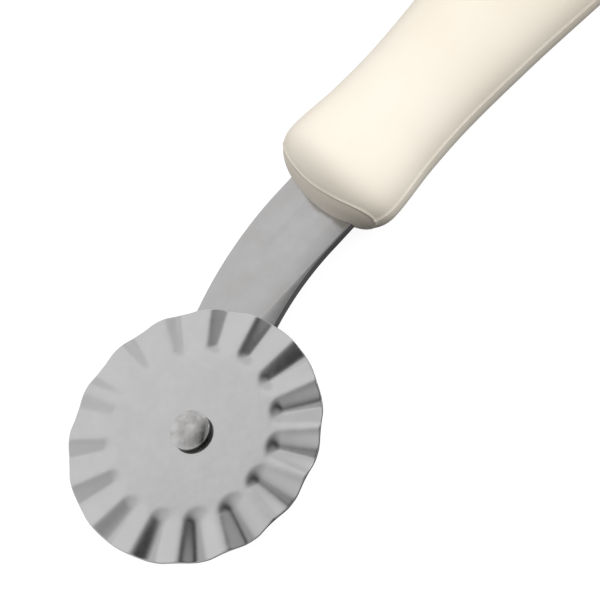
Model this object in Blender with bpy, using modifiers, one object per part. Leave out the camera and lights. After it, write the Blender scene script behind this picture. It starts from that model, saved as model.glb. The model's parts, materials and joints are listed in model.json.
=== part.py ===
"""Pastry cutter wheel: a fluted steel wheel, riveted to a curved flat shank in a two-shell handle.

The tool lies on the flat land under its handle. +Z is up and along the wheel's axis, +X runs
from the wheel to the end of the handle, and the origin is on the table, under the middle of the
tool's box. Along the tool, lengths are measured from the wheel's axis. The pieces of the wheel's
end are placed from the shank's mid-plane, and those of the handle from the handle's mid-plane.
Pieces that touch on the real tool keep PLAY between them.
"""
import math

import bmesh
import bpy
from mathutils import Vector

# Running and seating gaps
PLAY = 0.0003
RUNNING_PLAY = 0.0001

# Fluted wheel
WHEEL_RADIUS = 0.0200
SHEET = 0.0008
BORE_RADIUS = 0.0017
FLUTES = 16
FLUTE_ANGLE = math.radians(5.9)         # middle of the first flute, from +X
FLUTE_START = 0.0142                    # radius where the rounded inner end turns into the walls
FLUTE_SPREAD = math.tan(math.radians(11.0))
FLUTE_DEPTH = 0.0007
STEPS_PER_FLUTE = 8
RINGS_ALONG_FLUTE = 6

# Rivet and spacer
RIVET_RADIUS = BORE_RADIUS - RUNNING_PLAY
HEAD_RADIUS = 0.0031
HEAD_EDGE = 0.0009
HEAD_DOME = 0.0004
TAIL_RADIUS = 0.0026
TAIL_HEIGHT = 0.0009
SPACER_RADIUS = 0.0042
SPACER_HEIGHT = 0.0011
ROUND_STEPS = 32

# Shank: an arc from the wheel's axis that widens and runs straight into the handle
SHANK_TIP_WIDTH = 0.0124
SHANK_WIDTH = 0.0139
SHANK_SHEET = 0.0015
SHANK_HOLE_RADIUS = RIVET_RADIUS + PLAY
HANDLE_OFFSET = 0.0129                  # from the wheel's axis across to the handle's axis
BEND_END = 0.0356
BEND_RADIUS = (BEND_END**2 + HANDLE_OFFSET**2) / (2 * HANDLE_OFFSET)
SHOULDER = 0.0399
TANG_WIDTH = 0.0090
TANG_END = 0.0880
PIN_PLACES = {"tang_pin_front": 0.0550, "tang_pin_rear": 0.0780}
PIN_RADIUS = 0.0015
PIN_HOLE_RADIUS = PIN_RADIUS + PLAY
PIN_END = 0.0044                        # height of a pin's ends over and under the tang

# Handle, as half widths and heights at a few places along it, with rounded ends
NOSE = 0.0386
HANDLE_END = 0.1550
NOSE_REACH = 0.0067
NOSE_POWER = 2.2
NOSE_SKEW = 0.03                        # how far the front leans back towards +Y
NOSE_SKEW_REACH = 0.0140
END_REACH = 0.0150
END_POWER = 2.2
SECTION_POWER = 2.1
HALF_WIDTHS = ((0.0450, 0.0112), (0.0540, 0.0103), (0.0630, 0.0101), (0.0760, 0.0110),
               (0.1020, 0.0134), (0.1380, 0.0112))
TOP_HEIGHTS = ((0.0450, 0.0083), (0.0540, 0.0078), (0.0630, 0.0076), (0.0760, 0.0079),
               (0.1020, 0.0091), (0.1380, 0.0080))
BELLY_DEPTH = 0.0080
LAND_DEPTH = 0.0074                     # the flat land that the tool lies on
END_SIZES = (0.35, 0.55, 0.72, 0.86, 0.95)
SECTION_STEPS = 28

# Inside the handle
SIDE_WALL = 0.0026
TOP_WALL = 0.0024
FLOOR_WALL = 0.0022
MOUTH_HALF_WIDTH = 0.0070
MOUTH_HEIGHT = 0.0045
MOUTH_END = 0.0510
CAVITY_END = 0.1260
COLLAR_JOINT = 0.0394                   # middle of the joint behind the collar
COLLAR_JOINT_RADIUS = 0.0211
COLLAR_JOINT_SKEW = 0.043
PLUG_END = 0.0465
BOSS_RADIUS = 0.0032
PEG_PLACE = 0.1310
PEG_RADIUS = 0.0015
PEG_LENGTH = 0.0030
HANG_PLACE = 0.1440
HANG_RADIUS = 0.0032
HANG_LENGTH = 0.0048                    # straight stretch between the slot's round ends

# Levels over the shank's mid-plane
SHANK_TOP = SHANK_SHEET / 2
SPACER_BASE = SHANK_TOP + PLAY
WHEEL_BASE = SPACER_BASE + SPACER_HEIGHT + PLAY
WHEEL_TOP = WHEEL_BASE + SHEET
HEAD_BASE = WHEEL_TOP + PLAY
TAIL_TOP = -SHANK_TOP - PLAY
HANDLE_LIFT = 0.0015                    # handle's mid-plane over the shank's

# Places of the wheel's axis and the handle's axis in the tool's frame
WIDEST = max(width for _, width in HALF_WIDTHS)
AXIS_X = WHEEL_RADIUS - (WHEEL_RADIUS + HANDLE_END) / 2
AXIS_Y = (WHEEL_RADIUS - HANDLE_OFFSET - WIDEST) / 2
SHANK_LEVEL = LAND_DEPTH - HANDLE_LIFT
WHEEL_ORIGIN = Vector((AXIS_X, AXIS_Y, SHANK_LEVEL))
HANDLE_ORIGIN = Vector((AXIS_X, AXIS_Y + HANDLE_OFFSET, LAND_DEPTH))

FAR = 0.040                             # how far a cutter reaches past what it cuts


# ---- Scene, materials and helpers

def clear_scene():
    for old in list(bpy.data.objects):
        bpy.data.objects.remove(old, do_unlink=True)


def new_collection(name):
    collection = bpy.data.collections.new(name)
    bpy.context.scene.collection.children.link(collection)
    return collection


def new_material(name, colour, roughness, metallic):
    material = bpy.data.materials.new(name)
    material.use_nodes = True
    shader = material.node_tree.nodes["Principled BSDF"]
    shader.inputs["Base Color"].default_value = (*colour, 1.0)
    shader.inputs["Roughness"].default_value = roughness
    shader.inputs["Metallic"].default_value = metallic
    material.diffuse_color = (*colour, 1.0)
    return material


def new_empty(name, place):
    empty = bpy.data.objects.new(name, None)
    empty.location = place
    PARTS.objects.link(empty)
    return empty


def mesh_object(name, bm, collection):
    """An object from a bmesh, which this frees."""
    mesh = bpy.data.meshes.new(name)
    bm.to_mesh(mesh)
    bm.free()
    obj = bpy.data.objects.new(name, mesh)
    collection.objects.link(obj)
    return obj


def as_cutter(obj):
    obj.hide_render = True
    obj.display_type = "WIRE"
    return obj


def finish(obj, parent, material, smooth=True):
    obj.parent = parent
    obj.data.materials.append(material)
    if smooth:
        obj.data.shade_smooth()
        obj.data.set_sharp_from_angle(angle=math.radians(35))
    return obj


def boolean(obj, operation, other):
    modifier = obj.modifiers.new(operation.lower() + "_" + other.name, "BOOLEAN")
    modifier.operation = operation
    modifier.solver = "MANIFOLD"
    modifier.object = other


def block(name, low, high, parent):
    """A cutter box between two corners."""
    bm = bmesh.new()
    bmesh.ops.create_cube(bm, size=1.0)
    size = Vector(high) - Vector(low)
    bmesh.ops.scale(bm, vec=size, verts=bm.verts)
    bmesh.ops.translate(bm, vec=(Vector(low) + Vector(high)) / 2, verts=bm.verts)
    obj = as_cutter(mesh_object(name, bm, CUTTERS))
    obj.parent = parent
    return obj


def post(name, radius, along, bottom, top, parent):
    """A cutter or a boss: an upright cylinder on the handle's axis."""
    bm = bmesh.new()
    bmesh.ops.create_cone(bm, cap_ends=True, segments=ROUND_STEPS, radius1=radius,
                          radius2=radius, depth=top - bottom)
    bmesh.ops.translate(bm, vec=(along, 0, (top + bottom) / 2), verts=bm.verts)
    obj = as_cutter(mesh_object(name, bm, CUTTERS))
    obj.parent = parent
    return obj


def arc(centre, radius, start, end, steps):
    """Points along an arc, with both of its ends."""
    angles = [start + (end - start) * i / steps for i in range(steps + 1)]
    return [(centre[0] + radius * math.cos(a), centre[1] + radius * math.sin(a)) for a in angles]


def circle(centre, radius, steps=ROUND_STEPS):
    return arc(centre, radius, 0, 2 * math.pi, steps)[:-1]


def plate(name, outlines, bottom, top, collection):
    """A flat plate: the first outline, less the ones inside it, between two levels."""
    curve = bpy.data.curves.new(name, "CURVE")
    curve.dimensions = "2D"
    curve.fill_mode = "BOTH"
    curve.extrude = (top - bottom) / 2
    for outline in outlines:
        spline = curve.splines.new("POLY")
        spline.points.add(len(outline) - 1)
        for point, (x, y) in zip(spline.points, outline):
            point.co = (x, y, 0, 1)
        spline.use_cyclic_u = True
    drawing = bpy.data.objects.new(name + "_outline", curve)
    collection.objects.link(drawing)
    evaluated = drawing.evaluated_get(bpy.context.evaluated_depsgraph_get())
    mesh = bpy.data.meshes.new_from_object(evaluated)
    bpy.data.objects.remove(drawing, do_unlink=True)
    bm = bmesh.new()
    bm.from_mesh(mesh)
    bpy.data.meshes.remove(mesh)
    bmesh.ops.remove_doubles(bm, verts=bm.verts, dist=0.000001)
    bmesh.ops.translate(bm, vec=(0, 0, (top + bottom) / 2), verts=bm.verts)
    bmesh.ops.recalc_face_normals(bm, faces=bm.faces)
    return mesh_object(name, bm, collection)


def turned(name, profile, closed, steps):
    """A turned piece: a profile at +X, spun round Z."""
    bm = bmesh.new()
    verts = [bm.verts.new((radius, 0, height)) for radius, height in profile]
    for first, second in zip(verts, verts[1:]):
        bm.edges.new((first, second))
    if closed:
        bm.edges.new((verts[-1], verts[0]))
    obj = mesh_object(name, bm, PARTS)
    screw = obj.modifiers.new("turn", "SCREW")
    screw.steps = steps
    screw.render_steps = steps
    screw.use_merge_vertices = True
    screw.merge_threshold = 0.00001
    return obj


def loft(name, rings, collection):
    """A closed solid over rings of points, which all run the same way round."""
    bm = bmesh.new()
    loops = [[bm.verts.new(point) for point in ring] for ring in rings]
    for first, second in zip(loops, loops[1:]):
        for i, near in enumerate(first):
            bm.faces.new((near, first[i - 1], second[i - 1], second[i]))
    bm.faces.new(loops[0])
    bm.faces.new(loops[-1])
    bmesh.ops.recalc_face_normals(bm, faces=bm.faces)
    bmesh.ops.triangulate(bm, faces=bm.faces)
    return mesh_object(name, bm, collection)


# ---- The wheel's end

def flute_depth(radius, angle):
    """How far the wheel's sheet is pressed down at a point."""
    pitch = 2 * math.pi / FLUTES
    turn = (angle - FLUTE_ANGLE + pitch / 2) % pitch - pitch / 2
    half_width = FLUTE_SPREAD * max(radius, FLUTE_START)
    away = math.hypot(radius * math.sin(turn), max(FLUTE_START - radius, 0)) / half_width
    return FLUTE_DEPTH * (1 + math.cos(math.pi * min(away, 1))) / 2


def fluted_wheel(parent):
    """A flat hub with rounded flutes pressed towards the shank, thickened from an open sheet."""
    flute_end = FLUTE_START * (1 - FLUTE_SPREAD)
    along_flute = (WHEEL_RADIUS - flute_end) / RINGS_ALONG_FLUTE
    radii = [BORE_RADIUS] + [flute_end + i * along_flute for i in range(RINGS_ALONG_FLUTE + 1)]
    bm = bmesh.new()
    line = [bm.verts.new((radius, 0, 0)) for radius in radii]
    edges = [bm.edges.new(pair) for pair in zip(line, line[1:])]
    bmesh.ops.rotate(bm, cent=(0, 0, 0), verts=line,
                     matrix=Vector((1, 0, 0)).rotation_difference(
                         Vector((math.cos(FLUTE_ANGLE), math.sin(FLUTE_ANGLE), 0))).to_matrix())
    bmesh.ops.spin(bm, geom=line + edges, cent=(0, 0, 0), axis=(0, 0, 1),
                   angle=2 * math.pi, steps=FLUTES * STEPS_PER_FLUTE, use_merge=True)
    bmesh.ops.remove_doubles(bm, verts=bm.verts, dist=0.000001)
    for vert in bm.verts:
        vert.co.z = -flute_depth(vert.co.xy.length, math.atan2(vert.co.y, vert.co.x))
    bm.normal_update()
    if bm.faces[:][0].normal.z < 0:
        bmesh.ops.reverse_faces(bm, faces=bm.faces)
    wheel = mesh_object("fluted_wheel", bm, PARTS)
    solidify = wheel.modifiers.new("sheet", "SOLIDIFY")
    solidify.thickness = SHEET
    solidify.offset = -1
    wheel.location.z = WHEEL_TOP
    return finish(wheel, parent, STEEL_WHEEL)


def axle_rivet(parent):
    """A domed head over the wheel, a shaft through wheel, spacer and shank, and a clenched tail."""
    dome = arc((0, 0), 1, math.pi / 2, 0, ROUND_STEPS // 4)
    profile = [(HEAD_RADIUS * x, HEAD_BASE + HEAD_EDGE + HEAD_DOME * z) for x, z in dome]
    profile += [(HEAD_RADIUS, HEAD_BASE), (RIVET_RADIUS, HEAD_BASE), (RIVET_RADIUS, TAIL_TOP),
                (TAIL_RADIUS, TAIL_TOP), (TAIL_RADIUS, TAIL_TOP - TAIL_HEIGHT / 2),
                (0.8 * TAIL_RADIUS, TAIL_TOP - TAIL_HEIGHT), (0, TAIL_TOP - TAIL_HEIGHT)]
    return finish(turned("axle_rivet", profile, False, ROUND_STEPS), parent, STEEL_RIVET)


def spacer_washer(parent):
    """The washer that holds the flutes clear of the shank."""
    hole = RIVET_RADIUS + PLAY
    top = SPACER_BASE + SPACER_HEIGHT
    profile = [(hole, top), (SPACER_RADIUS, top), (SPACER_RADIUS, SPACER_BASE),
               (hole, SPACER_BASE)]
    return finish(turned("spacer_washer", profile, True, ROUND_STEPS), parent, STEEL_SHANK)


def shank_edge(centre, start, side):
    """One edge of the bend, from the rivet to the handle; side is 1 outside and -1 inside."""
    points = []
    for step in range(17):
        part = step / 16
        half = (SHANK_TIP_WIDTH + (SHANK_WIDTH - SHANK_TIP_WIDTH) * part) / 2
        angle = start + (math.pi / 2 - start) * part
        radius = BEND_RADIUS + side * half
        points.append((centre[0] + radius * math.cos(angle),
                       centre[1] + radius * math.sin(angle)))
    return points


def shank_arm(parent):
    """A flat strip: round end on the rivet, arc to the handle, straight tang with pin holes."""
    centre = (BEND_END, HANDLE_OFFSET - BEND_RADIUS)
    half = SHANK_WIDTH / 2
    start = math.atan2(-centre[1], -centre[0])
    up = math.pi / 2
    outer = shank_edge(centre, start, 1)
    inner = shank_edge(centre, start, -1)[::-1]
    round_end = arc((0, 0), SHANK_TIP_WIDTH / 2, start + math.pi, start, 16)[1:-1]
    narrow = TANG_WIDTH / 2
    tang_end = arc((TANG_END - narrow, HANDLE_OFFSET), narrow, up, -up, 12)
    outline = outer + [(SHOULDER, HANDLE_OFFSET + half), (SHOULDER, HANDLE_OFFSET + narrow)]
    outline += tang_end
    outline += [(SHOULDER, HANDLE_OFFSET - narrow), (SHOULDER, HANDLE_OFFSET - half)]
    outline += inner + round_end
    holes = [circle((0, 0), SHANK_HOLE_RADIUS)]
    holes += [circle((x, HANDLE_OFFSET), PIN_HOLE_RADIUS) for x in PIN_PLACES.values()]
    shank = plate("shank_arm", [outline] + holes, -SHANK_TOP, SHANK_TOP, PARTS)
    return finish(shank, parent, STEEL_SHANK)


# ---- The handle

def slope(stations, i):
    """The slope at a station, level at the first and the last."""
    if i in (0, len(stations) - 1):
        return 0.0
    before, after = stations[i - 1], stations[i + 1]
    return (after[1] - before[1]) / (after[0] - before[0])


def along_path(place, stations):
    """A size at this place, on a smooth curve through the stations."""
    if place <= stations[0][0]:
        return stations[0][1]
    for i, ((start, low), (end, high)) in enumerate(zip(stations, stations[1:])):
        if place <= end:
            span = end - start
            t = (place - start) / span
            leaving = (1 - t)**2 * ((1 + 2 * t) * low + t * span * slope(stations, i))
            arriving = t * t * ((3 - 2 * t) * high - (1 - t) * span * slope(stations, i + 1))
            return leaving + arriving
    return stations[-1][1]


def end_distance(size, reach, power):
    """How far from a rounded end the section has grown to this share of its full size."""
    return reach * (1 - (1 - size**power)**(1 / power))


def section(place, half_width, top, bottom, land, lean=0.0):
    """A ring round the handle's axis: a soft oval with its underside cut flat at the land."""
    ring = []
    for step in range(SECTION_STEPS):
        angle = 2 * math.pi * step / SECTION_STEPS
        across = math.copysign(abs(math.cos(angle))**(2 / SECTION_POWER), math.cos(angle))
        rise = math.copysign(abs(math.sin(angle))**(2 / SECTION_POWER), math.sin(angle))
        y = half_width * across
        z = max(rise * (top if rise > 0 else bottom), -land)
        ring.append((place + lean * y, y, z))
    return ring


def handle_stations():
    """Each station's place and the share of its full size that its section has."""
    tip_gap = end_distance(END_SIZES[0], NOSE_REACH, NOSE_POWER)
    nose = [(NOSE - tip_gap + end_distance(size, NOSE_REACH, NOSE_POWER), size)
            for size in END_SIZES]
    tip_gap = end_distance(END_SIZES[0], END_REACH, END_POWER)
    tail = [(HANDLE_END + tip_gap - end_distance(size, END_REACH, END_POWER), size)
            for size in reversed(END_SIZES)]
    start = NOSE + NOSE_REACH
    end = HANDLE_END - END_REACH
    steps = 16
    middle = [(start + (end - start) * i / steps, 1.0) for i in range(steps + 1)]
    return nose + middle + tail


def handle_solid(name, collection):
    """The handle's whole outer shape."""
    rings = []
    for place, size in handle_stations():
        fade = max(1 - (place - NOSE) / NOSE_SKEW_REACH, 0)
        rings.append(section(place, size * along_path(place, HALF_WIDTHS),
                             size * along_path(place, TOP_HEIGHTS), size * BELLY_DEPTH,
                             LAND_DEPTH, NOSE_SKEW * fade * fade))
    return loft(name, rings, collection)


def cavity():
    """The hollow in the two shells, open at the nose for the collar's plug."""
    rings = []
    places = [NOSE - FAR / 4, PLUG_END + PLAY, MOUTH_END]
    places += [MOUTH_END + (CAVITY_END - MOUTH_END) * i / 10 for i in range(1, 11)]
    floor = LAND_DEPTH - FLOOR_WALL
    for place in places:
        if place < MOUTH_END:
            rings.append(section(place, MOUTH_HALF_WIDTH, MOUTH_HEIGHT, MOUTH_HEIGHT,
                                 MOUTH_HEIGHT))
        else:
            rings.append(section(place, along_path(place, HALF_WIDTHS) - SIDE_WALL,
                                 along_path(place, TOP_HEIGHTS) - TOP_WALL,
                                 BELLY_DEPTH - FLOOR_WALL, floor))
    return as_cutter(loft("handle_cavity", rings, CUTTERS))


def joint_arc(offset):
    """The collar's joint seen from above, moved back by an offset."""
    reach = WIDEST + FAR / 8
    points = []
    for step in range(17):
        y = reach * (1 - step / 8)
        bow = COLLAR_JOINT_RADIUS - math.sqrt(COLLAR_JOINT_RADIUS**2 - y * y)
        points.append((COLLAR_JOINT + offset + COLLAR_JOINT_SKEW * y + bow, y))
    return points


def hang_slot():
    """The slot through the handle's end, for a hook."""
    right = (HANG_PLACE + HANG_LENGTH / 2, 0)
    left = (HANG_PLACE - HANG_LENGTH / 2, 0)
    up = math.pi / 2
    outline = arc(right, HANG_RADIUS, -up, up, 12) + arc(left, HANG_RADIUS, up, 3 * up, 12)
    return as_cutter(plate("hang_slot", [outline], -FAR, FAR, CUTTERS))


def nose_front_cutter():
    """Everything in front of the shells."""
    arc_points = joint_arc(PLAY / 2)
    front = [(NOSE - FAR, arc_points[-1][1]), (NOSE - FAR, arc_points[0][1])]
    return as_cutter(plate("in_front_of_shells", [arc_points + front], -FAR, FAR, CUTTERS))


def nose_rear_cutter():
    """Everything behind the collar's outer ring."""
    arc_points = joint_arc(-PLAY / 2)
    rear = [(HANDLE_END + FAR, arc_points[-1][1]), (HANDLE_END + FAR, arc_points[0][1])]
    return as_cutter(plate("behind_collar", [arc_points + rear], -FAR, FAR, CUTTERS))


def nose_collar(parent):
    """The front cap, with a plug into the shells and a slot that the shank passes through."""
    collar = handle_solid("nose_collar", PARTS)
    behind = nose_rear_cutter()
    behind.parent = parent
    boolean(collar, "DIFFERENCE", behind)
    plug_rings = [section(place, MOUTH_HALF_WIDTH - PLAY, MOUTH_HEIGHT - PLAY,
                          MOUTH_HEIGHT - PLAY, MOUTH_HEIGHT - PLAY)
                  for place in (COLLAR_JOINT - 5 * PLAY, PLUG_END)]
    plug = as_cutter(loft("collar_plug", plug_rings, CUTTERS))
    plug.parent = parent
    boolean(collar, "UNION", plug)
    low = -HANDLE_LIFT - SHANK_TOP - PLAY
    high = -HANDLE_LIFT + SHANK_TOP + PLAY
    wide = SHANK_WIDTH / 2 + PLAY
    boolean(collar, "DIFFERENCE", block("shank_slot", (NOSE - FAR, -wide, low),
                                        (SHOULDER + PLAY, wide, high), parent))
    narrow = TANG_WIDTH / 2 + PLAY
    boolean(collar, "DIFFERENCE", block("tang_slot", (SHOULDER - FAR / 8, -narrow, low),
                                        (PLUG_END + FAR, narrow, high), parent))
    return finish(collar, parent, PLASTIC)


def handle_shells(parent):
    """The upper and lower shells, with bosses that clamp the tang and hold its pins."""
    inside = cavity()
    slot = hang_slot()
    front = nose_front_cutter()
    for cutter in (inside, slot, front):
        cutter.parent = parent
    seam = PLAY / 2
    corners = ((NOSE - FAR, -FAR, seam - FAR), (HANDLE_END + FAR, FAR, seam))
    below = block("below_upper_shell", *corners, parent)
    above = block("above_lower_shell", (NOSE - FAR, -FAR, -seam),
                  (HANDLE_END + FAR, FAR, FAR), parent)

    upper = handle_solid("handle_upper_shell", PARTS)
    lower = handle_solid("handle_lower_shell", PARTS)
    for shell, other_side in ((upper, below), (lower, above)):
        boolean(shell, "DIFFERENCE", inside)
        boolean(shell, "DIFFERENCE", other_side)
        boolean(shell, "DIFFERENCE", front)
        boolean(shell, "DIFFERENCE", slot)

    over_tang = -HANDLE_LIFT + SHANK_TOP + PLAY
    under_tang = -HANDLE_LIFT - SHANK_TOP - PLAY
    for name, place in PIN_PLACES.items():
        roof = along_path(place, TOP_HEIGHTS) - TOP_WALL / 2
        boolean(upper, "UNION", post("boss_over_" + name, BOSS_RADIUS, place, over_tang, roof,
                                     parent))
        boolean(lower, "UNION", post("boss_under_" + name, BOSS_RADIUS, place,
                                     FLOOR_WALL / 2 - LAND_DEPTH, under_tang, parent))
        socket = post("socket_" + name, PIN_HOLE_RADIUS, place,
                      -HANDLE_LIFT - PIN_END + SHANK_TOP, -HANDLE_LIFT + PIN_END, parent)
        boolean(upper, "DIFFERENCE", socket)
        boolean(lower, "DIFFERENCE", socket)
    boolean(upper, "UNION", post("locating_peg", PEG_RADIUS, PEG_PLACE, -PEG_LENGTH,
                                 PEG_LENGTH, parent))
    boolean(lower, "DIFFERENCE", post("peg_socket", PEG_RADIUS + PLAY, PEG_PLACE,
                                      -PEG_LENGTH - PLAY, PEG_LENGTH, parent))
    finish(upper, parent, PLASTIC)
    finish(lower, parent, PLASTIC)


def tang_pins(parent):
    """Two plain steel pins that lock the tang between the shells."""
    for name, place in PIN_PLACES.items():
        low = -PIN_END + SHANK_TOP + PLAY
        high = PIN_END - PLAY
        chamfer = PLAY
        profile = [(0, high), (PIN_RADIUS - chamfer, high), (PIN_RADIUS, high - chamfer),
                   (PIN_RADIUS, low + chamfer), (PIN_RADIUS - chamfer, low), (0, low)]
        pin = turned(name, profile, False, ROUND_STEPS)
        pin.location = (place, 0, -HANDLE_LIFT)
        finish(pin, parent, STEEL_SHANK)


clear_scene()
PARTS = new_collection("pastry_cutter_wheel")
CUTTERS = new_collection("cutters")
STEEL_WHEEL = new_material("wheel_steel", (0.52, 0.52, 0.52), 0.28, 1.0)
STEEL_SHANK = new_material("shank_steel", (0.46, 0.46, 0.46), 0.32, 1.0)
STEEL_RIVET = new_material("rivet_steel", (0.50, 0.50, 0.50), 0.22, 1.0)
PLASTIC = new_material("handle_plastic", (0.90, 0.84, 0.71), 0.25, 0.0)

wheel_axis = new_empty("wheel_axis", WHEEL_ORIGIN)
handle_axis = new_empty("handle_axis", HANDLE_ORIGIN)
fluted_wheel(wheel_axis)
axle_rivet(wheel_axis)
spacer_washer(wheel_axis)
shank_arm(wheel_axis)
nose_collar(handle_axis)
handle_shells(handle_axis)
tang_pins(handle_axis)
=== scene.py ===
"""The looks of the pastry cutter wheel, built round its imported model.

Every piece is in metres in the model's frame: +Z is up and along the wheel's axis, +X runs from
the wheel to the end of the handle. Lengths along the tool are measured from the wheel's axis,
widths on the handle from its own axis and heights on it from its mid-plane. The main sizes below
repeat the ones that shaped the CAD; the others are finer edges and surfaces.
"""
import json
import math

import bmesh
import bpy
from mathutils import Matrix, Vector


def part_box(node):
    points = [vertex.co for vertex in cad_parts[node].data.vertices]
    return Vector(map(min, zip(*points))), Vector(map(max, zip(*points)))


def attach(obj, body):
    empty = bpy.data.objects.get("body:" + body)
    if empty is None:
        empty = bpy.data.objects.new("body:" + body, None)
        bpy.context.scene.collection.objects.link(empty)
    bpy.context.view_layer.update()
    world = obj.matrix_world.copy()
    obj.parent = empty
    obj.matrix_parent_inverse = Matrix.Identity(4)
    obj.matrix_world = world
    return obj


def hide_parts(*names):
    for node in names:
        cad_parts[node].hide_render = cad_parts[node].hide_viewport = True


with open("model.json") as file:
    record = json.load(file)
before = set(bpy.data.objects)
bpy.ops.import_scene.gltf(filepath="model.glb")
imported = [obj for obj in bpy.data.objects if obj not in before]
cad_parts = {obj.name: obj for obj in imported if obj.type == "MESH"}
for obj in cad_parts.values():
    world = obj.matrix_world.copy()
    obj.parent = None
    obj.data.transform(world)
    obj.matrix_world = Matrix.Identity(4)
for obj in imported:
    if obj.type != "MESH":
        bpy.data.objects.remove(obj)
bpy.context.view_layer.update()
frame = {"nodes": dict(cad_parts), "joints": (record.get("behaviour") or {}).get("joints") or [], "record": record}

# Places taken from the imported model
WHEEL_CENTRE = Vector(frame["joints"][0]["pos_m"])
REST_POINT = Vector(frame["record"]["mounts"][0]["pos_m"])
SHANK_LOW, SHANK_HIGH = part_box("shank_arm")
WHEEL_LOW, WHEEL_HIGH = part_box("fluted_wheel")
SPACER_LOW, SPACER_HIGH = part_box("spacer_washer")
RIVET_LOW, RIVET_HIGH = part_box("axle_rivet")
SHELL_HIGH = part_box("handle_lower_shell")[1]
AXIS_X, AXIS_Y = WHEEL_CENTRE.x, WHEEL_CENTRE.y
HANDLE_OFFSET = REST_POINT.y - AXIS_Y
HANDLE_END = SHELL_HIGH.x - AXIS_X
LAND_DEPTH = 0.0074
HANDLE_LEVEL = LAND_DEPTH               # the handle's mid-plane over the table

# Fits: how far the visible pieces stay apart
BORE_PLAY = 0.0001                      # between the rivet's shaft and the wheel
HOLE_PLAY = 0.0002                      # how much wider the washer's and shank's holes are
SEAT_GAP = 0.00006                      # between the rivet's ends and what they hold

# Wheel
WHEEL_RADIUS = 0.0200
BORE_RADIUS = 0.0017
FLUTES = 16
FLUTE_PITCH = 2 * math.pi / FLUTES
FLUTE_ANGLE = math.radians(5.9)
FLUTE_START = 0.0142
FLUTE_SPREAD = math.tan(math.radians(11.0))
FLUTE_DEPTH = 0.0007
INNER_DEPTH = 0.20                      # depth at a flute's inner end, as a share of the full one
WALL_AT_START = 1.0                     # share of a flute's half width that its walls take up
WALL_AT_RIM = 0.88
FLUTE_SHAPE = 1.20                      # above 1, the flutes are narrower and the lands wider
START_VARIATION = 0.016                 # how much the flutes' inner ends differ, as a share
DEEP_SIDE = 12.5                        # the flutes near this number are the deepest
DEPTH_LEAN = 0.10                       # how much deeper they are than the middling ones
DEPTH_VARIATION = 0.04                  # how much the depth differs from flute to flute
STEPS_PER_FLUTE = 28
RIM_ROUND = 0.00008
RIM_LAND = 0.00034                      # where the rim's upright face ends, below the top
RIM_BREAK = 0.00006
RIM_RELIEF = 0.0007                     # how far the underside is relieved behind the rim
SHEET = WHEEL_HIGH.z - WHEEL_LOW.z - FLUTE_DEPTH

# Rivet
HEAD_WALL = 0.00078                     # the upright part of the head's edge
HEAD_ROLL = 0.00010                     # the rolled corner above it
HEAD_CROWN = 0.00030                    # the dome's rise above that corner
HEAD_FOOT = 0.0002
TAIL_RADIUS = 0.0026
TAIL_EDGE = 0.0002
TAIL_WALL = 0.0003                      # from the tail's flat top down to its dome

# Spacer
SPACER_EDGE = 0.00015
UNDER_SPACER = 0.00004                  # the gap to the shank
OVER_SPACER = 0.0001                    # the gap to the wheel

# Shank
SHANK_TIP_WIDTH = 0.0124
SHANK_WIDTH = 0.0139
BEND_END = 0.0356
BEND_RADIUS = (BEND_END**2 + HANDLE_OFFSET**2) / (2 * HANDLE_OFFSET)    # level where it ends
SHOULDER = 0.0399
TANG_WIDTH = 0.0090
TANG_END = 0.0880
PIN_PLACES = (0.0550, 0.0780)
PIN_HOLE_RADIUS = 0.0018
SHANK_EDGE = 0.00014

# Handle
NOSE_TIP = 0.03834
NOSE_REACH = 0.0067
NOSE_POWER = 2.2
NOSE_SKEW = 0.03
NOSE_SKEW_REACH = 0.0140
TAIL_REACH = 0.0143
TAIL_POWER = 2.2
SECTION_POWER = 2.1
HALF_WIDTHS = ((0.0450, 0.0112), (0.0540, 0.0103), (0.0630, 0.0101), (0.0760, 0.0110),
               (0.1020, 0.0134), (0.1380, 0.0112))
TOP_HEIGHTS = ((0.0450, 0.0083), (0.0540, 0.0078), (0.0630, 0.0076), (0.0760, 0.0079),
               (0.1020, 0.0091), (0.1380, 0.0080))
BELLY_DEPTH = 0.0080
LAND_BLEND = 0.00016                    # how softly the belly runs into the flat land
JOINT = 0.0394
JOINT_RADIUS = 0.0211
JOINT_SKEW = 0.043
JOINT_HALF_WIDTH = 0.0145
JOINT_SEARCH = 0.0120                   # the joint is nowhere further than this behind the tip
SEAM_GAP = 0.00001                      # half the gap between the two shells
SEAM_ROUND = 0.00005
LIP_HEIGHT = 0.00010                    # the bead of flash beside the seam and the joint
LIP_WIDTH = 0.00018
SLOT_PLACE = 0.1440
SLOT_RADIUS = 0.0032
SLOT_LENGTH = 0.0048
SLOT_ROUND = 0.0009
SLOT_ZONE = (0.1372, 0.1500)            # where the shells' mesh is fine, round the slot
WALL = 0.0024
CAVITY_START = 0.0510
CAVITY_END = 0.1260
THROAT_PLACES = (0.0300, 0.0468, 0.0480)
THROAT_HALF_WIDTH = 0.0070
THROAT_HALF_HEIGHT = 0.0045
SLIT_PLAY = 0.00006                     # between the collar and the shank's faces
SLIT_SIDE_PLAY = 0.00008                # between the collar and the shank's edges

# Camera: where it aims from the wheel's centre, and how it turns, tilts and rolls
AIM_ALONG = 0.024368
AIM_ACROSS = 0.006814
VIEW_TURN = math.radians(11.09)
VIEW_TILT = math.radians(33.08)
VIEW_ROLL = math.radians(37.97)
VIEW_DISTANCE = 0.300
VIEW_LENS = 121.4


# ---- Helpers

def link(obj):
    bpy.context.scene.collection.objects.link(obj)
    return obj


def mesh_object(name, bm):
    """An object from a bmesh, which this frees."""
    bmesh.ops.recalc_face_normals(bm, faces=bm.faces)
    mesh = bpy.data.meshes.new(name)
    bm.to_mesh(mesh)
    bm.free()
    return link(bpy.data.objects.new(name, mesh))


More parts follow.
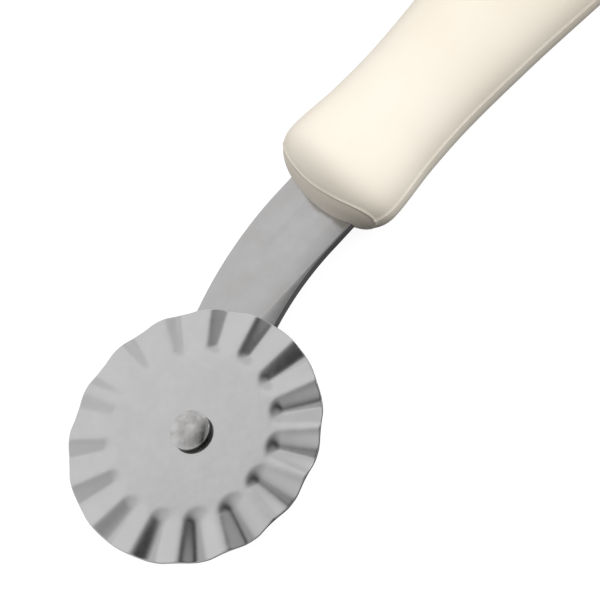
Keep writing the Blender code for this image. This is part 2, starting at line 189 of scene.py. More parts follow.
def finish_piece(obj, body, nodes, material, sharp=38):
    """Smooth shading, material, and what the piece rides on and stands for."""
    obj.data.materials.clear()
    obj.data.materials.append(material)
    obj.data.shade_smooth()
    obj.data.set_sharp_from_angle(angle=math.radians(sharp))
    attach(obj, body)
    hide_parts(*nodes)
    return obj


def cut(obj, other, operation="DIFFERENCE"):
    """Applies a Boolean with another object, which is then removed."""
    modifier = obj.modifiers.new("cut", "BOOLEAN")
    modifier.operation = operation
    modifier.solver = "MANIFOLD"
    modifier.object = other
    evaluated = obj.evaluated_get(bpy.context.evaluated_depsgraph_get())
    mesh = bpy.data.meshes.new_from_object(evaluated)
    obj.modifiers.clear()
    old = obj.data
    obj.data = mesh
    bpy.data.meshes.remove(old)
    bpy.data.objects.remove(other, do_unlink=True)
    return obj


def grid_faces(bm, rows, closed_rows):
    """Quads between rows of vertices; closed_rows joins each row's end to its start."""
    for first, second in zip(rows, rows[1:]):
        count = len(first)
        for i in range(count if closed_rows else count - 1):
            j = (i + 1) % count
            bm.faces.new((first[i], first[j], second[j], second[i]))


def lathe(name, profile, steps, closed=False):
    """A turned piece round Z from (radius, height) points; a radius of 0 makes a pole."""
    bm = bmesh.new()
    rows = []
    for radius, height in profile:
        if radius == 0:
            rows.append([bm.verts.new((0, 0, height))] * steps)
        else:
            turns = [2 * math.pi * i / steps for i in range(steps)]
            rows.append([bm.verts.new((radius * math.cos(t), radius * math.sin(t), height))
                         for t in turns])
    pairs = list(zip(rows, rows[1:]))
    if closed:
        pairs.append((rows[-1], rows[0]))
    for first, second in pairs:
        for i in range(steps):
            j = (i + 1) % steps
            corners = (first[i], first[j], second[j], second[i])
            bm.faces.new(dict.fromkeys(corners))
    return mesh_object(name, bm)


def arc(centre, radius, start, end, steps):
    """Points along an arc, with both of its ends."""
    angles = [start + (end - start) * i / steps for i in range(steps + 1)]
    return [(centre[0] + radius * math.cos(a), centre[1] + radius * math.sin(a)) for a in angles]


def spread(start, end, steps):
    """Evenly spaced values, with both ends."""
    return [start + (end - start) * i / steps for i in range(steps + 1)]


def round_off(distance, radius):
    """How far a rounded edge has dropped at this distance from it."""
    if distance >= radius:
        return 0.0
    near = radius - max(distance, 0.0)
    return radius - math.sqrt(max(radius * radius - near * near, 0.0))


# ---- Materials

def new_material(name):
    """A material with its node tree and its Principled shader."""
    material = bpy.data.materials.new(name)
    material.use_nodes = True
    tree = material.node_tree
    return material, tree, tree.nodes["Principled BSDF"]


def object_space(tree, scale=(1, 1, 1)):
    """The object's own coordinates, so that a pattern moves with its piece."""
    coordinates = tree.nodes.new("ShaderNodeTexCoord")
    mapping = tree.nodes.new("ShaderNodeMapping")
    mapping.inputs["Scale"].default_value = scale
    tree.links.new(coordinates.outputs["Object"], mapping.inputs["Vector"])
    return mapping.outputs["Vector"]


def noise(tree, vector, scale, detail=3.0, roughness=0.5):
    """Noise from 0 to 1; the scale is in cells per metre."""
    node = tree.nodes.new("ShaderNodeTexNoise")
    node.inputs["Scale"].default_value = scale
    node.inputs["Detail"].default_value = detail
    node.inputs["Roughness"].default_value = roughness
    tree.links.new(vector, node.inputs["Vector"])
    return node.outputs["Fac"]


def remap(tree, value, low, high, out_low, out_high):
    """A value moved from one range to another."""
    node = tree.nodes.new("ShaderNodeMapRange")
    for name, number in (("From Min", low), ("From Max", high),
                         ("To Min", out_low), ("To Max", out_high)):
        node.inputs[name].default_value = number
    tree.links.new(value, node.inputs["Value"])
    return node.outputs["Result"]


def ramp(tree, value, stops):
    """A colour by a value from 0 to 1, from (place, colour) stops."""
    node = tree.nodes.new("ShaderNodeValToRGB")
    elements = node.color_ramp.elements
    while len(elements) < len(stops):
        elements.new(0.5)
    for element, (place, colour) in zip(elements, stops):
        element.position = place
        element.color = (*colour, 1.0)
    tree.links.new(value, node.inputs["Fac"])
    return node.outputs["Color"]


def bump(tree, heights, normal_input):
    """Chained bumps from (height, distance) pairs."""
    last = None
    for height, distance in heights:
        node = tree.nodes.new("ShaderNodeBump")
        node.inputs["Strength"].default_value = 1.0
        node.inputs["Distance"].default_value = distance
        tree.links.new(height, node.inputs["Height"])
        if last:
            tree.links.new(last, node.inputs["Normal"])
        last = node.outputs["Normal"]
    tree.links.new(last, normal_input)


def steel(name, dark, light, rough_low, rough_high, grain, wave, blotch_scale):
    """Sheet metal with blotches, a slight waviness, a fine grain and faint scratches."""
    material, tree, shader = new_material(name)
    shader.inputs["Metallic"].default_value = 1.0
    space = object_space(tree)
    blotches = noise(tree, space, blotch_scale, 4.0, 0.6)
    colour = ramp(tree, blotches, ((0.35, dark), (0.65, light)))
    tree.links.new(colour, shader.inputs["Base Color"])
    fine = noise(tree, space, 5200, 2.0, 0.6)
    streaks = noise(tree, object_space(tree, (900, 9000, 900)), 1.0, 2.0, 0.5)
    rough = remap(tree, noise(tree, space, 650, 3.0, 0.6), 0.3, 0.7, rough_low, rough_high)
    tree.links.new(rough, shader.inputs["Roughness"])
    waves = noise(tree, space, 330, 2.0, 0.5)
    bump(tree, ((waves, wave), (fine, grain), (streaks, grain * 0.5)), shader.inputs["Normal"])
    return material


def rivet_steel():
    """Bright tumbled metal with dull patches and small dents."""
    material, tree, shader = new_material("rivet_bright_steel")
    shader.inputs["Metallic"].default_value = 1.0
    space = object_space(tree)
    patches = noise(tree, space, 420, 4.0, 0.60)
    colour = ramp(tree, patches, ((0.36, (0.40, 0.395, 0.39)), (0.50, (0.52, 0.515, 0.51)),
                                  (0.66, (0.62, 0.62, 0.62))))
    tree.links.new(colour, shader.inputs["Base Color"])
    rough = remap(tree, noise(tree, space, 700, 3.0, 0.6), 0.3, 0.7, 0.07, 0.16)
    tree.links.new(rough, shader.inputs["Roughness"])
    dents = noise(tree, space, 480, 2.0, 0.5)
    bump(tree, ((dents, 0.000022),), shader.inputs["Normal"])
    return material


def rivet_painted_shade_steel():
    """The rivet head's edge, near black with a noise mottle: painted shade for the shadowed gap and dark
    reflections under the head.
    """
    material, tree, shader = new_material("rivet_painted_shade_rim")
    shader.inputs["Metallic"].default_value = 1.0
    scale = noise(tree, object_space(tree), 1500, 3.0, 0.6)
    # Near-black colour: painted shade, not the metal's own colour.
    colour = ramp(tree, scale, ((0.35, (0.050, 0.048, 0.046)), (0.70, (0.115, 0.112, 0.110))))
    tree.links.new(colour, shader.inputs["Base Color"])
    rough = remap(tree, scale, 0.3, 0.7, 0.22, 0.34)
    tree.links.new(rough, shader.inputs["Roughness"])
    return material


def cream_plastic():
    """Glossy moulded plastic, a little uneven in tone and gloss."""
    material, tree, shader = new_material("handle_cream_plastic")
    space = object_space(tree)
    tone = noise(tree, space, 55, 3.0, 0.55)
    colour = ramp(tree, tone, ((0.30, (0.885, 0.805, 0.680)), (0.70, (0.905, 0.840, 0.730))))
    tree.links.new(colour, shader.inputs["Base Color"])
    rough = remap(tree, noise(tree, space, 420, 4.0, 0.6), 0.3, 0.7, 0.30, 0.42)
    tree.links.new(rough, shader.inputs["Roughness"])
    shader.inputs["IOR"].default_value = 1.46
    peel = noise(tree, space, 700, 2.0, 0.5)
    specks = noise(tree, space, 3800, 2.0, 0.6)
    bump(tree, ((peel, 0.000006), (specks, 0.0000025)), shader.inputs["Normal"])
    return material


# ---- Wheel's end

def flute_drop(radius, angle):
    """How far the sheet is pressed down at a point of the wheel."""
    turns = (angle - FLUTE_ANGLE + FLUTE_PITCH / 2) / FLUTE_PITCH
    number = math.floor(turns) % FLUTES
    turn = (turns % 1.0 - 0.5) * FLUTE_PITCH
    start = FLUTE_START * (1 + START_VARIATION * math.sin(2.4 * number + 0.7))
    half_width = FLUTE_SPREAD * max(radius, start)
    away = math.hypot(radius * math.sin(turn), max(start - radius, 0)) / half_width
    inner = start * (1 - FLUTE_SPREAD)
    along = min(max((radius - inner) / (WHEEL_RADIUS - inner), 0), 1)
    wall = WALL_AT_START + (WALL_AT_RIM - WALL_AT_START) * along
    depth = FLUTE_DEPTH * (INNER_DEPTH + (1 - INNER_DEPTH) * along)
    depth *= (1 - DEPTH_LEAN + DEPTH_LEAN * math.cos(FLUTE_PITCH * (number - DEEP_SIDE))
              + DEPTH_VARIATION * math.sin(4.1 * number))
    share = min(max((1 - away) / wall, 0), 1)
    return depth * ((1 - math.cos(math.pi * share)) / 2)**FLUTE_SHAPE


def wheel_disc(material):
    """The fluted sheet, with a rounded and relieved rim."""
    steps = FLUTES * STEPS_PER_FLUTE
    angles = [FLUTE_ANGLE + 2 * math.pi * i / steps for i in range(steps)]
    hub_end = FLUTE_START * (1 - FLUTE_SPREAD) - 0.0003
    top = [(r, 0.0) for r in spread(BORE_RADIUS, hub_end, 7)]
    top += [(r, 0.0) for r in spread(hub_end, WHEEL_RADIUS - RIM_ROUND, 44)[1:]]
    rim = [(WHEEL_RADIUS - RIM_ROUND * (1 - math.sin(a)), RIM_ROUND * (1 - math.cos(a)))
           for a in spread(0, math.pi / 2, 4)[1:]]
    rim += [(WHEEL_RADIUS, RIM_LAND), (WHEEL_RADIUS - RIM_BREAK, RIM_LAND + RIM_BREAK),
            (WHEEL_RADIUS - RIM_RELIEF + 0.0001, SHEET - 0.00004),
            (WHEEL_RADIUS - RIM_RELIEF, SHEET)]
    under = [(r, SHEET) for r in spread(WHEEL_RADIUS - RIM_RELIEF - 0.0005, hub_end, 40)]
    under += [(r, SHEET) for r in spread(hub_end, BORE_RADIUS, 5)[1:]]
    bm = bmesh.new()
    rows = []
    for radius, below in top + rim + under:
        row = []
        for angle in angles:
            height = WHEEL_HIGH.z - flute_drop(radius, angle) - below
            row.append(bm.verts.new((AXIS_X + radius * math.cos(angle),
                                     AXIS_Y + radius * math.sin(angle), height)))
        rows.append(row)
    grid_faces(bm, rows + rows[:1], True)
    disc = mesh_object("wheel_disc", bm)
    return finish_piece(disc, "wheel", ("fluted_wheel",), material)


def rivet_head(material, shade_material):
    """A low dome with a rolled edge over the hub, and the clenched tail under the shank."""
    radius = (RIVET_HIGH.x - RIVET_LOW.x) / 2
    base = WHEEL_HIGH.z + SEAT_GAP
    shoulder = base + HEAD_WALL
    crown_base = shoulder + HEAD_ROLL
    top = crown_base + HEAD_CROWN
    inner = radius - HEAD_ROLL
    dome = [(inner * math.sin(a), top - HEAD_CROWN * (1 - math.cos(a)))
            for a in spread(0, math.pi / 2, 12)]
    dome = [(r, z) for r, z in dome if r < inner * 0.93]
    roll = [(inner + HEAD_ROLL * math.sin(a), crown_base + HEAD_ROLL * (math.cos(a) - 1))
            for a in spread(0.35, math.pi / 2, 8)]
    shaft = BORE_RADIUS - BORE_PLAY
    tail_top = SHANK_LOW.z - SEAT_GAP
    profile = dome + roll + [(radius, shoulder), (radius - 0.00004, base + 0.00016),
                             (radius - HEAD_FOOT, base), (shaft, base), (shaft, tail_top),
                             (TAIL_RADIUS - TAIL_EDGE, tail_top), (TAIL_RADIUS, tail_top - TAIL_EDGE)]
    low = RIVET_LOW.z
    profile += [(TAIL_RADIUS * (0.60 + 0.40 * math.cos(a)),
                 low + (tail_top - TAIL_WALL - low) * (1 - math.sin(a)))
                for a in spread(0, math.pi / 2, 6)]
    profile += [(TAIL_RADIUS * 0.3, low), (0, low + 0.00006)]
    head = lathe("rivet_head", profile, 96)
    head.location = (AXIS_X, AXIS_Y, 0)
    finish_piece(head, "handle", ("axle_rivet",), material, 50)
    # The head's upright edge takes the near-black material, which is painted shade for the gap under the head.
    head.data.materials.append(shade_material)
    for face in head.data.polygons:
        upright = abs(face.normal.z) < 0.75
        outside = face.center.xy.length > BORE_RADIUS + 0.0003
        if upright and outside and base < face.center.z < shoulder:
            face.material_index = 1
    return head


def spacer(material):
    """The washer between wheel and shank, with broken edges."""
    outer = (SPACER_HIGH.x - SPACER_LOW.x) / 2
    hole = BORE_RADIUS + HOLE_PLAY
    low, high = SHANK_HIGH.z + UNDER_SPACER, WHEEL_HIGH.z - SHEET - OVER_SPACER
    edge = SPACER_EDGE
    profile = [(hole, high - edge), (hole + edge, high), (outer - edge, high)]
    profile += [(outer - edge + edge * math.sin(a), high - edge + edge * math.cos(a))
                for a in spread(0.4, math.pi / 2, 3)]
    profile += [(outer - edge + edge * math.cos(a), low + edge - edge * math.sin(a))
                for a in spread(0, math.pi / 2, 3)]
    profile += [(hole + edge, low), (hole, low + edge)]
    washer = lathe("spacer_ring", profile, 72, closed=True)
    washer.location = (AXIS_X, AXIS_Y, 0)
    return finish_piece(washer, "handle", ("spacer_washer",), material, 50)


def shank_edge(centre, start, side):
    """One edge of the bend, from the rivet to the handle; side is 1 outside and -1 inside."""
    points = []
    for part in spread(0, 1, 64):
        half = (SHANK_TIP_WIDTH + (SHANK_WIDTH - SHANK_TIP_WIDTH) * part) / 2
        angle = start + (math.pi / 2 - start) * part
        radius = BEND_RADIUS + side * half
        points.append((centre[0] + radius * math.cos(angle),
                       centre[1] + radius * math.sin(angle)))
    return points


def shank_strip(material):
    """The flat strip with rolled edges: round end, bend, shoulders and tang."""
    centre = (BEND_END, HANDLE_OFFSET - BEND_RADIUS)
    start = math.atan2(-centre[1], -centre[0])
    up = math.pi / 2
    half, narrow = SHANK_WIDTH / 2, TANG_WIDTH / 2
    outline = shank_edge(centre, start, 1)
    outline += [(SHOULDER, HANDLE_OFFSET + half), (SHOULDER, HANDLE_OFFSET + narrow)]
    outline += arc((TANG_END - narrow, HANDLE_OFFSET), narrow, up, -up, 32)
    outline += [(SHOULDER, HANDLE_OFFSET - narrow), (SHOULDER, HANDLE_OFFSET - half)]
    outline += shank_edge(centre, start, -1)[::-1]
    outline += arc((0, 0), SHANK_TIP_WIDTH / 2, start + math.pi, start, 48)[1:-1]
    holes = [arc((0, 0), BORE_RADIUS + HOLE_PLAY, 0, 2 * math.pi, 48)[:-1]]
    holes += [arc((x, HANDLE_OFFSET), PIN_HOLE_RADIUS, 0, 2 * math.pi, 32)[:-1] for x in PIN_PLACES]
    curve = bpy.data.curves.new("shank_outline", "CURVE")
    curve.dimensions = "2D"
    curve.fill_mode = "BOTH"
    curve.extrude = (SHANK_HIGH.z - SHANK_LOW.z) / 2 - SHANK_EDGE
    curve.bevel_depth = SHANK_EDGE
    curve.bevel_resolution = 3
    curve.offset = -SHANK_EDGE
    for line in [outline] + holes:
        spline = curve.splines.new("POLY")
        spline.points.add(len(line) - 1)
        for point, (x, y) in zip(spline.points, line):
            point.co = (x, y, 0, 1)
        spline.use_cyclic_u = True
    drawing = link(bpy.data.objects.new("shank_outline", curve))
    evaluated = drawing.evaluated_get(bpy.context.evaluated_depsgraph_get())
    mesh = bpy.data.meshes.new_from_object(evaluated)
    bpy.data.objects.remove(drawing, do_unlink=True)
    bm = bmesh.new()
    bm.from_mesh(mesh)
    bpy.data.meshes.remove(mesh)
    bmesh.ops.remove_doubles(bm, verts=bm.verts, dist=0.000002)
    bmesh.ops.dissolve_degenerate(bm, edges=bm.edges, dist=0.000001)
    strip = mesh_object("shank_strip", bm)
    strip.location = (AXIS_X, AXIS_Y, (SHANK_HIGH.z + SHANK_LOW.z) / 2)
    return finish_piece(strip, "handle", ("shank_arm",), material, 12)


# ---- Handle

def slope(stations, i):
    """The slope at a station, level at the first and the last."""
    if i in (0, len(stations) - 1):
        return 0.0
    before, after = stations[i - 1], stations[i + 1]
    return (after[1] - before[1]) / (after[0] - before[0])


def along_path(place, stations):
    """A size at this place, on a smooth curve through the stations."""
    if place <= stations[0][0]:
        return stations[0][1]
    for i, ((start, low), (end, high)) in enumerate(zip(stations, stations[1:])):
        if place <= end:
            span = end - start
            t = (place - start) / span
            leaving = (1 - t)**2 * ((1 + 2 * t) * low + t * span * slope(stations, i))
            arriving = t * t * ((3 - 2 * t) * high - (1 - t) * span * slope(stations, i + 1))
            return leaving + arriving
    return stations[-1][1]


def joint_place(y):
    """Where the collar meets the shells, at this distance from the handle's axis."""
    bow = JOINT_RADIUS - math.sqrt(JOINT_RADIUS**2 - min(abs(y), JOINT_HALF_WIDTH)**2)
    return JOINT + JOINT_SKEW * y + bow


def end_share(distance, reach, power):
    """The share of its full size that a section has at this distance from a rounded end."""
    if distance >= reach:
        return 1.0
    part = 1 - max(distance, 0.0) / reach
    return (1 - part**power)**(1 / power)


def skin(place, angle, gap=0.0):
    """A point of the handle's outer surface; gap lifts it off the mid-plane on its own side."""
    share = min(end_share(place - NOSE_TIP, NOSE_REACH, NOSE_POWER),
                end_share(HANDLE_END - place, TAIL_REACH, TAIL_POWER))
    half = along_path(place, HALF_WIDTHS)
    full = along_path(place, TOP_HEIGHTS) if math.sin(angle) > 0 else BELLY_DEPTH
    across = math.copysign(abs(math.cos(angle))**(2 / SECTION_POWER), math.cos(angle))
    rise = abs(math.sin(angle))**(2 / SECTION_POWER)
    y = share * half * across
    z = math.copysign(gap + share * rise * (full - gap), math.sin(angle))
    if z < 0:
        over = z + LAND_DEPTH
        z = -LAND_DEPTH + (over + math.hypot(over, LAND_BLEND)) / 2
    fade = max(1 - (place - NOSE_TIP) / NOSE_SKEW_REACH, 0)
    return Vector((place + NOSE_SKEW * fade * fade * y, y, z))


def skin_normal(place, angle, gap):
    """The outward normal, from small steps both ways."""
    step = 0.00002
    low = max(place - step, NOSE_TIP + 1e-7)
    high = min(place + step, HANDLE_END - 1e-7)
    along = skin(high, angle, gap) - skin(low, angle, gap)
    turn = 0.002
    if abs(math.sin(angle)) < 0.004:
        around = Vector((0, 0, math.copysign(1, math.cos(angle))))
    else:
        around = skin(place, angle + turn, gap) - skin(place, angle - turn, gap)
    normal = around.cross(along)
    if normal.length < 1e-14:
        return Vector((-1, 0, 0)) if place < JOINT else Vector((1, 0, 0))
    if normal.dot(Vector((0, math.cos(angle), math.sin(angle)))) < 0:
        normal.negate()
    return normal.normalized()


def slot_distance(x, y):
    """The distance outside the hanging slot's outline, seen from above."""
    beyond = max(abs(x - SLOT_PLACE) - SLOT_LENGTH / 2, 0.0)
    return math.hypot(beyond, y) - SLOT_RADIUS


def lip(distance):
    """A low bead of moulding flash beside a joint."""
    return LIP_HEIGHT * math.exp(-((distance - LIP_WIDTH) / (0.5 * LIP_WIDTH))**2)


def shell_point(place, angle, gap):
    """The skin with its edges rounded at the seam, the collar's joint and the hanging slot."""
    point = skin(place, angle, gap)
    normal = skin_normal(place, angle, gap)
    seam = abs(point.z) - gap
    joint = point.x - joint_place(point.y) - gap
    drop = round_off(seam, SEAM_ROUND)
    moved = point + normal * (lip(seam) * 0.8 + lip(joint) * 1.2 - drop)
    slot = slot_distance(point.x, point.y)
    if slot < SLOT_ROUND:
        moved.z -= math.copysign(round_off(slot, SLOT_ROUND), point.z)
    moved.z = math.copysign(max(abs(moved.z), gap), point.z)
    moved.x = max(moved.x, joint_place(moved.y) + gap)
    return moved


def front_place(angle, gap, offset):
    """The place where the skin crosses the collar's joint, moved by an offset."""
    low, high = NOSE_TIP, NOSE_TIP + JOINT_SEARCH
    for _ in range(40):
        middle = (low + high) / 2
        point = skin(middle, angle, gap)
        if point.x - joint_place(point.y) - offset < 0:
            low = middle
        else:
            high = middle
    return (low + high) / 2


def shell_angles(side):
    """Angles round one shell from seam to seam, close together at the seams and over the slot."""
    near = [0, 0.3, 0.7, 1.2, 1.8, 2.6, 3.8, 5.5]
    degrees = near + spread(8, 62, 18) + spread(63.5, 90, 18)
    degrees += [180 - d for d in reversed(degrees[:-1])]
    return [side * math.radians(d) for d in degrees]


def shell_places(start):
    """Places along a shell, close together behind the joint, at the slot and at the tail."""
    near = [0, 0.00004, 0.0001, 0.00017, 0.00025, 0.00034, 0.00046, 0.00065, 0.0009]
    blend_end = 0.0475
    first = [start + step for step in near]
    first += spread(start + near[-1], blend_end, 9)[1:]
    slot_start, slot_end = SLOT_ZONE
    middle = spread(blend_end, slot_start, 84)[1:]
    slot = spread(slot_start, slot_end, 40)[1:]
    tail = [HANDLE_END - (HANDLE_END - slot_end) * math.cos(a)**1.2
            for a in spread(0, math.pi / 2, 18)]
    return first + middle + slot + tail[1:]


def half_shell(name, side):
    """One shell as a closed solid: skin, a flat face at the seam and a face behind the joint."""
    gap = SEAM_GAP
    bm = bmesh.new()
    columns = []
    for angle in shell_angles(side):
        places = shell_places(front_place(angle, gap, gap))
        columns.append([shell_point(place, angle, gap) for place in places[:-1]])
    tip = bm.verts.new((HANDLE_END, 0, side * gap))
    columns = [[bm.verts.new(point) for point in column] for column in columns]
    for first, second in zip(columns, columns[1:]):
        for i in range(len(first) - 1):
            bm.faces.new((first[i], first[i + 1], second[i + 1], second[i]))
        bm.faces.new((first[-1], tip, second[-1]))
    feet = [columns[0][0]]
    for column in columns[1:-1]:
        front = column[0].co
        feet.append(bm.verts.new((front.x, front.y, side * gap)))
    feet.append(columns[-1][0])
    for i in range(len(feet) - 1):
        corners = (feet[i], columns[i][0], columns[i + 1][0], feet[i + 1])
        bm.faces.new(dict.fromkeys(corners))
    bm.faces.new(feet)
    left, right = columns[0] + [tip], columns[-1] + [tip]
    for i in range(len(left) - 1):
        bm.faces.new(dict.fromkeys((left[i], left[i + 1], right[i + 1], right[i])))
    return mesh_object(name, bm)


def closed_loft(name, rings):
    """A closed solid over rings of points."""
    bm = bmesh.new()
    rows = [[bm.verts.new(point) for point in ring] for ring in rings]
    grid_faces(bm, rows, True)
    bm.faces.new(rows[0])
    bm.faces.new(rows[-1])
    bmesh.ops.triangulate(bm, faces=[f for f in bm.faces if len(f.verts) > 4])
    return mesh_object(name, bm)


def inner_ring(place, half, top, bottom, steps=48):
    """A section of the hollow, of the same family of shapes as the skin's."""
    ring = []
    for i in range(steps):
        angle = 2 * math.pi * i / steps
        across = math.copysign(abs(math.cos(angle))**(2 / SECTION_POWER), math.cos(angle))
        rise = math.copysign(abs(math.sin(angle))**(2 / SECTION_POWER), math.sin(angle))
        ring.append((place, half * across, rise * (top if rise > 0 else bottom)))
    return ring


def cavity():
    """The hollow in the two shells, open at the joint."""
    rings = [inner_ring(place, THROAT_HALF_WIDTH, THROAT_HALF_HEIGHT, THROAT_HALF_HEIGHT)
             for place in THROAT_PLACES]
    for place in spread(CAVITY_START, CAVITY_END, 24):
        rings.append(inner_ring(place, along_path(place, HALF_WIDTHS) - WALL,
                                along_path(place, TOP_HEIGHTS) - WALL, LAND_DEPTH - WALL))
    return closed_loft("cavity", rings)


def slot_cutter():
    """A prism through the handle's end, as wide as the slot."""
    up = math.pi / 2
    outline = arc((SLOT_PLACE + SLOT_LENGTH / 2, 0), SLOT_RADIUS, -up, up, 32)
    outline += arc((SLOT_PLACE - SLOT_LENGTH / 2, 0), SLOT_RADIUS, up, 3 * up, 32)
    return closed_loft("slot", [[(x, y, z) for x, y in outline] for z in (-0.02, 0.02)])


def box_cutter(name, low, high):
    """A box between two corners."""
    ring = [(low[1], low[2]), (high[1], low[2]), (high[1], high[2]), (low[1], high[2])]
    return closed_loft(name, [[(x, y, z) for y, z in ring] for x in (low[0], high[0])])


def handle_shell(name, side, node, material):
    """One finished shell, hollow and with its half of the hanging slot."""
    shell = half_shell(name, side)
    cut(shell, cavity())
    cut(shell, slot_cutter())
    shell.location = (AXIS_X, REST_POINT.y, HANDLE_LEVEL)
    return finish_piece(shell, "handle", (node,), material, 40)


def collar_point(place, angle):
    """The skin in front of the joint."""
    point = skin(place, angle)
    point.x = min(point.x, joint_place(point.y) - SEAM_GAP)
    return point


def nose_cap(material):
    """The collar: the skin from the tip back to the joint, slotted for the shank."""
    steps = 144
    bm = bmesh.new()
    near = [0.0009, 0.0006, 0.0004, 0.00028, 0.0002, 0.00013, 0.00008, 0.00004, 0]
    columns = []
    for i in range(steps):
        angle = 2 * math.pi * (i + 0.5) / steps
        rear = front_place(angle, 0.0, -SEAM_GAP)
        reach = rear - near[0] - NOSE_TIP
        places = [NOSE_TIP + reach * (part / 30)**2.4 for part in range(1, 31)]
        places += [rear - step for step in near[1:]]
        columns.append([collar_point(place, angle) for place in places])
    tip = bm.verts.new((NOSE_TIP, 0, 0))
    columns = [[bm.verts.new(point) for point in column] for column in columns]
    for first, second in zip(columns, columns[1:] + columns[:1]):
        bm.faces.new((tip, first[0], second[0]))
        for i in range(len(first) - 1):
            bm.faces.new((first[i], first[i + 1], second[i + 1], second[i]))
    for i in range(steps // 2 - 1):
        above, next_above = columns[i][-1], columns[i + 1][-1]
        below, next_below = columns[steps - 1 - i][-1], columns[steps - 2 - i][-1]
        bm.faces.new((above, next_above, next_below, below))
    cap = mesh_object("nose_cap", bm)
    level = (SHANK_HIGH.z + SHANK_LOW.z) / 2 - HANDLE_LEVEL
    half = (SHANK_HIGH.z - SHANK_LOW.z) / 2 + SLIT_PLAY
    for name, width, front, rear in (("shank_slot", SHANK_WIDTH, 0.0300, SHOULDER + 0.0002),
                                     ("tang_slot", TANG_WIDTH, SHOULDER - 0.0020, 0.0600)):
        side = width / 2 + SLIT_SIDE_PLAY
        cut(cap, box_cutter(name, (front, -side, level - half), (rear, side, level + half)))
    cap.location = (AXIS_X, REST_POINT.y, HANDLE_LEVEL)
    return finish_piece(cap, "handle", ("nose_collar",), material, 40)


# ---- Studio

def view_axes():
    """The camera's right, up and backward directions, then its level right and away directions."""
    right = Vector((math.cos(VIEW_TURN), -math.sin(VIEW_TURN), 0))
    away = Vector((math.sin(VIEW_TURN), math.cos(VIEW_TURN), 0))
    up = Vector((0, 0, 1))
    back = math.cos(VIEW_TILT) * up - math.sin(VIEW_TILT) * away
    down = -(math.cos(VIEW_TILT) * away + math.sin(VIEW_TILT) * up)
    camera_right = math.cos(VIEW_ROLL) * right + math.sin(VIEW_ROLL) * down
    camera_up = math.sin(VIEW_ROLL) * right - math.cos(VIEW_ROLL) * down
    return camera_right, camera_up, back, right, away


def make_camera():
    """The camera, at the picture's viewing angle."""
    camera_right, camera_up, back, right, away = view_axes()
    camera = link(bpy.data.objects.new("camera", bpy.data.cameras.new("camera")))
    camera.data.sensor_width = 36.0
    camera.data.lens = VIEW_LENS
    aim = WHEEL_CENTRE + AIM_ALONG * right + AIM_ACROSS * away
    place = aim + VIEW_DISTANCE * back
    turn = Matrix((camera_right, camera_up, back)).transposed().to_4x4()
    camera.matrix_world = Matrix.Translation(place) @ turn
    camera.data.clip_start, camera.data.clip_end = 0.01, 20.0
    bpy.context.scene.camera = camera


def area_light(name, towards, distance, size, power, glossy):
    """A square soft light that faces the tool from this direction."""
    light = bpy.data.lights.new(name, "AREA")
    light.shape = "SQUARE"
    light.size = size
    light.energy = power
    obj = link(bpy.data.objects.new(name, light))
    direction = Vector(towards).normalized()
    obj.location = direction * distance
    obj.rotation_mode = "QUATERNION"
    obj.rotation_quaternion = direction.to_track_quat("Z", "Y")
    obj.visible_glossy = glossy
    return obj


def lobe(tree, direction, towards, stops):
    """A value by the angle from a direction; the stops run from behind (-1) to straight at it."""
    dot = tree.nodes.new("ShaderNodeVectorMath")
    dot.operation = "DOT_PRODUCT"
    dot.inputs[1].default_value = towards.normalized()
    tree.links.new(direction, dot.inputs[0])
    share = remap(tree, dot.outputs["Value"], -1, 1, 0, 1)
    return ramp(tree, share, [((place + 1) / 2, (v, v, v)) for place, v in stops])


def vector_math(tree, operation, first, second):
    """One vector operation on links or constants."""
    node = tree.nodes.new("ShaderNodeVectorMath")
    node.operation = operation
    for socket, value in zip(node.inputs, (first, second)):
        if isinstance(value, tuple):
            socket.default_value = value
        else:
            tree.links.new(value, socket)
    return node.outputs["Vector"]


def background(tree, colour):
    """A surrounding of this colour."""
    node = tree.nodes.new("ShaderNodeBackground")
    tree.links.new(colour, node.inputs["Color"])
    return node.outputs["Background"]


def choose(tree, share, first, second):
    """The first surrounding where the share is 0 and the second where it is 1."""
    node = tree.nodes.new("ShaderNodeMixShader")
    for socket, value in zip(node.inputs, (share, first, second)):
        tree.links.new(value, socket)
    return node.outputs["Shader"]


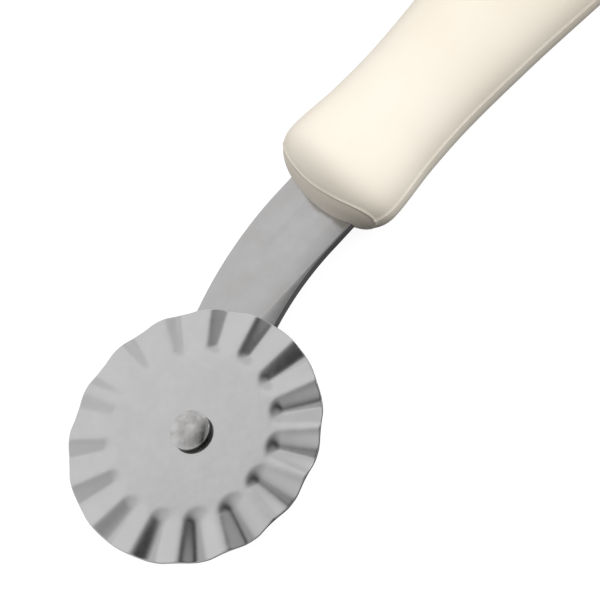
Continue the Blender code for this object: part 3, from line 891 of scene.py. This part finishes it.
def make_world():
    """White for the camera, a soft lobe for diffuse light, and a tent for reflections.

    The tent is pale, with a dark opening and a narrow strut beside it, and dimmer below.
    """
    world = bpy.data.worlds.new("studio")
    bpy.context.scene.world = world
    world.use_nodes = True
    tree = world.node_tree
    tree.nodes.remove(tree.nodes["Background"])
    _, _, _, right, away = view_axes()
    up = Vector((0, 0, 1))
    direction = tree.nodes.new("ShaderNodeTexCoord").outputs["Generated"]
    across = lobe(tree, direction, right,
                  ((-1.0, 0.12), (-0.50, 0.20), (-0.35, 0.27), (-0.20, 0.42), (-0.10, 0.60),
                   (0.0, 0.88), (0.08, 1.0), (0.15, 0.92), (0.25, 0.68), (0.36, 0.58),
                   (0.60, 0.55), (0.85, 0.30), (1.0, 0.30)))
    along = lobe(tree, direction, away,
                 ((-1.0, 0.58), (-0.80, 0.64), (-0.62, 0.90), (-0.45, 0.96), (0.20, 0.96),
                  (0.33, 0.88), (0.41, 0.72), (0.46, 0.40), (0.50, 0.12), (0.535, 0.0),
                  (1.0, 0.0)))
    ground = lobe(tree, direction, up, ((-1.0, 0.35), (-0.06, 0.35), (0.02, 1.0), (1.0, 1.0)))
    dark = vector_math(tree, "MULTIPLY", across, along)
    strut = lobe(tree, direction, right,
                 ((-1.0, 0.0), (0.10, 0.0), (0.17, 0.16), (0.27, 0.18), (0.38, 0.05), (1.0, 0.0)))
    dark = vector_math(tree, "MAXIMUM", dark, strut)
    tent = vector_math(tree, "SUBTRACT", (1, 1, 1), dark)
    tent = vector_math(tree, "MULTIPLY", tent, ground)
    tent = vector_math(tree, "MULTIPLY", tent, (0.89, 0.885, 0.885))
    soft = lobe(tree, direction, 0.68 * away + 0.50 * right + 0.66 * up,
                ((-1.0, 0.04), (-0.50, 0.04), (-0.15, 0.24), (0.10, 1.04), (1.0, 1.08)))
    backdrop = tree.nodes.new("ShaderNodeBackground")
    backdrop.inputs["Color"].default_value = (1, 1, 1, 1)
    path = tree.nodes.new("ShaderNodeLightPath")
    light = choose(tree, path.outputs["Is Glossy Ray"], background(tree, soft),
                   background(tree, tent))
    shader = choose(tree, path.outputs["Is Camera Ray"], light, backdrop.outputs["Background"])
    tree.links.new(shader, tree.nodes["World Output"].inputs["Surface"])


def make_floor():
    """A pale floor, which the camera sees and which doesn't light the tool."""
    bm = bmesh.new()
    bmesh.ops.create_grid(bm, x_segments=1, y_segments=1, size=3.0)
    floor = mesh_object("floor", bm)
    material, _, shader = new_material("floor_paper")
    shader.inputs["Base Color"].default_value = (0.20, 0.20, 0.20, 1)
    shader.inputs["Roughness"].default_value = 0.9
    shader.inputs["Specular IOR Level"].default_value = 0.0
    shader.inputs["Emission Color"].default_value = (0.90, 0.90, 0.90, 1)
    shader.inputs["Emission Strength"].default_value = 1.0
    floor.data.materials.append(material)
    floor.visible_diffuse = False
    floor.visible_glossy = False


def make_lights():
    """A soft key from above and behind, a side light for the handle, and a glint for the rivet."""
    _, _, _, right, away = view_axes()
    up = Vector((0, 0, 1))
    area_light("key", 0.20 * right + 0.45 * away + 0.90 * up, 0.9, 0.7, 0.25, False)
    area_light("side", 0.74 * right - 0.54 * away + 0.40 * up, 1.0, 0.4, 5.0, False)
    area_light("glint", 0.75 * right + 0.02 * away + 0.66 * up, 1.0, 0.2, 0.45, True)


# ---- Assembly

wheel_metal = steel("wheel_satin_steel", (0.585, 0.585, 0.585), (0.615, 0.615, 0.615),
                    0.11, 0.16, 0.0000012, 0.000014, 160)
shank_metal = steel("shank_satin_steel", (0.50, 0.495, 0.49), (0.535, 0.535, 0.54),
                    0.17, 0.23, 0.0000020, 0.000010, 190)
rivet_metal = rivet_steel()
# The rivet edge's near-black metal is painted shade.
rivet_shade_metal = rivet_painted_shade_steel()
plastic = cream_plastic()

wheel_disc(wheel_metal)
rivet_head(rivet_metal, rivet_shade_metal)
spacer(shank_metal)
shank_strip(shank_metal)
nose_cap(plastic)
handle_shell("upper_shell", 1, "handle_upper_shell", plastic)
handle_shell("lower_shell", -1, "handle_lower_shell", plastic)
for name in ("tang_pin_front", "tang_pin_rear"):
    pin_materials = frame["nodes"][name].data.materials
    pin_materials.clear()
    pin_materials.append(shank_metal)

make_camera()
make_world()
make_floor()
make_lights()
bpy.context.scene.view_settings.view_transform = "Standard"
